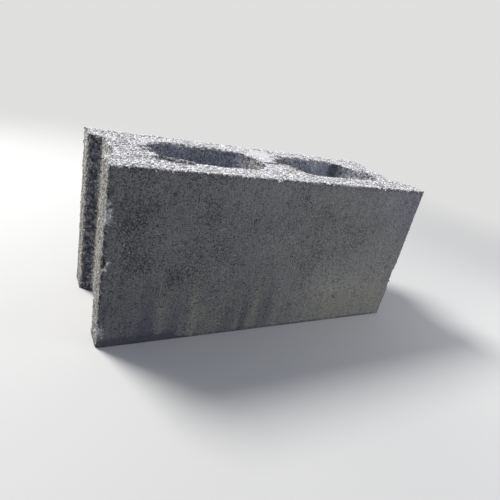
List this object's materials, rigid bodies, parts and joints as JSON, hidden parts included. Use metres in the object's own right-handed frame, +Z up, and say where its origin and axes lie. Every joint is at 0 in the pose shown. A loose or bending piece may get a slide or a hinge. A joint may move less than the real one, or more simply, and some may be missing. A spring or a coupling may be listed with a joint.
{
  "type": "hollow concrete block",
  "caption": "Hollow concrete masonry block with rounded through cores and a mortar keyway down each end, for walls and partitions.",
  "frame": {"origin": "centre of the bottom bed, on the underside of the centre web", "axes": "+X along the block's length, +Y across its width, +Z up through the cores, towards the wide end of the cores"},
  "size_m": [0.4, 0.15, 0.19],
  "materials": {
    "concrete": "matte, open-grained, damp grey concrete"
  },
  "bodies": {
    "root": {"concrete_block": "concrete"}
  },
  "joints": []
}
